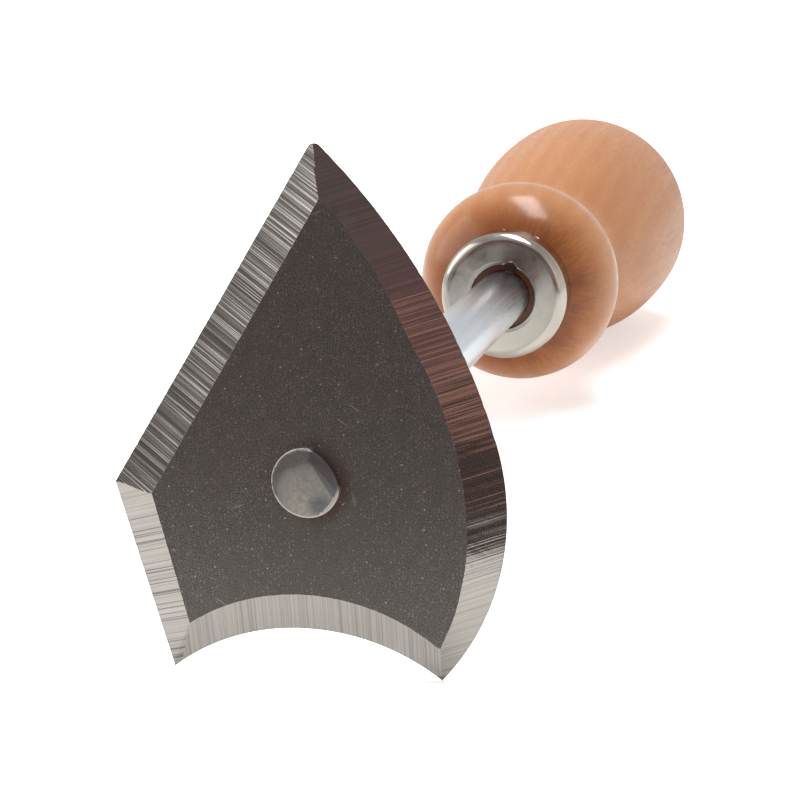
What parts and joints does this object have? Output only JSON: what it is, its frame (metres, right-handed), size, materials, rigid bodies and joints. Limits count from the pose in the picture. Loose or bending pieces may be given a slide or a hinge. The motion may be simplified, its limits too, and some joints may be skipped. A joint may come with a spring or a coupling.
{
  "type": "shave hook",
  "caption": "Hand scraper for mouldings: a ground plate blade with straight, bowed and hollow edges, riveted square across a round steel shank in a turned wooden handle.",
  "frame": {"origin": "on the shank's axis, at the blade's back face, where the shank's shoulder seats", "axes": "+X along the shank from the blade to the handle's butt, +Z towards the blade's upper point, +Y to the left as seen from the blade's ground side"},
  "size_m": [0.2062, 0.0423, 0.0562],
  "materials": {
    "blade_steel": "dark rolled face with bright ground bevels",
    "plated_steel": "bright zinc plate",
    "ferrule_metal": "polished nickel plate",
    "handle_wood": "lacquered hardwood"
  },
  "bodies": {
    "root": {"blade": "blade_steel", "shank": "plated_steel", "ferrule": "ferrule_metal", "handle": "handle_wood"}
  },
  "joints": []
}
